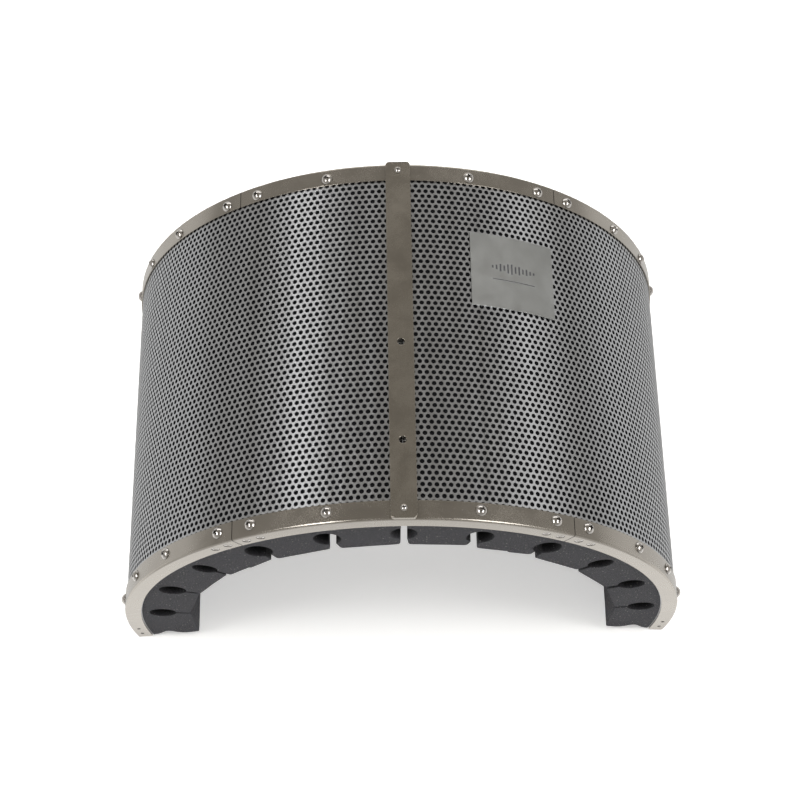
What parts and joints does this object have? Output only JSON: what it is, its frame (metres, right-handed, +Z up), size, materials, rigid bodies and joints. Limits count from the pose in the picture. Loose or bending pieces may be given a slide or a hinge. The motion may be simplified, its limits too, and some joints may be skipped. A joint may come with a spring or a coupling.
{
  "type": "microphone reflection filter",
  "caption": "Curved perforated metal shield with angle rim trims, a stand strip and a keyhole-slotted foam lining, placed behind a studio microphone.",
  "frame": {"origin": "under the middle of the shield's box, on the plane of the bottom rim face", "axes": "+Z up the shield's height, -Y out of the convex face that carries the stand strip, +X to the right seen from that side; the hollow opens towards +Y"},
  "size_m": [0.4398, 0.2631, 0.288],
  "materials": {
    "sheet_steel": "satin, perforated",
    "trim_steel": "brushed",
    "strip_steel": "satin",
    "plate_alu": "satin",
    "screw_zinc": "polished",
    "nut_zinc": "zinc plated",
    "splice_zinc": "zinc plated",
    "fleece": "matt black fleece",
    "liner_steel": "satin, perforated",
    "foam": "open-cell foam"
  },
  "bodies": {
    "root": {"outer_sheet": "sheet_steel", "bottom_trim_left": "trim_steel", "bottom_trim_centre": "trim_steel", "bottom_trim_right": "trim_steel", "top_trim_left": "trim_steel", "top_trim_centre": "trim_steel", "top_trim_right": "trim_steel", "splice_bottom_left": "splice_zinc", "splice_bottom_right": "splice_zinc", "splice_top_left": "splice_zinc", "splice_top_right": "splice_zinc", "stand_strip": "strip_steel", "name_plate": "plate_alu", "rim_screws_bottom": "screw_zinc", "rim_screws_top": "screw_zinc", "rim_nuts_bottom": "nut_zinc", "rim_nuts_top": "nut_zinc", "flange_screws_bottom": "screw_zinc", "flange_screws_top": "screw_zinc", "strip_screws": "screw_zinc", "strip_nuts": "nut_zinc", "bracket_nuts": "nut_zinc", "core_fleece": "fleece", "inner_liner": "liner_steel", "foam_left": "foam", "foam_right": "foam"}
  },
  "joints": []
}
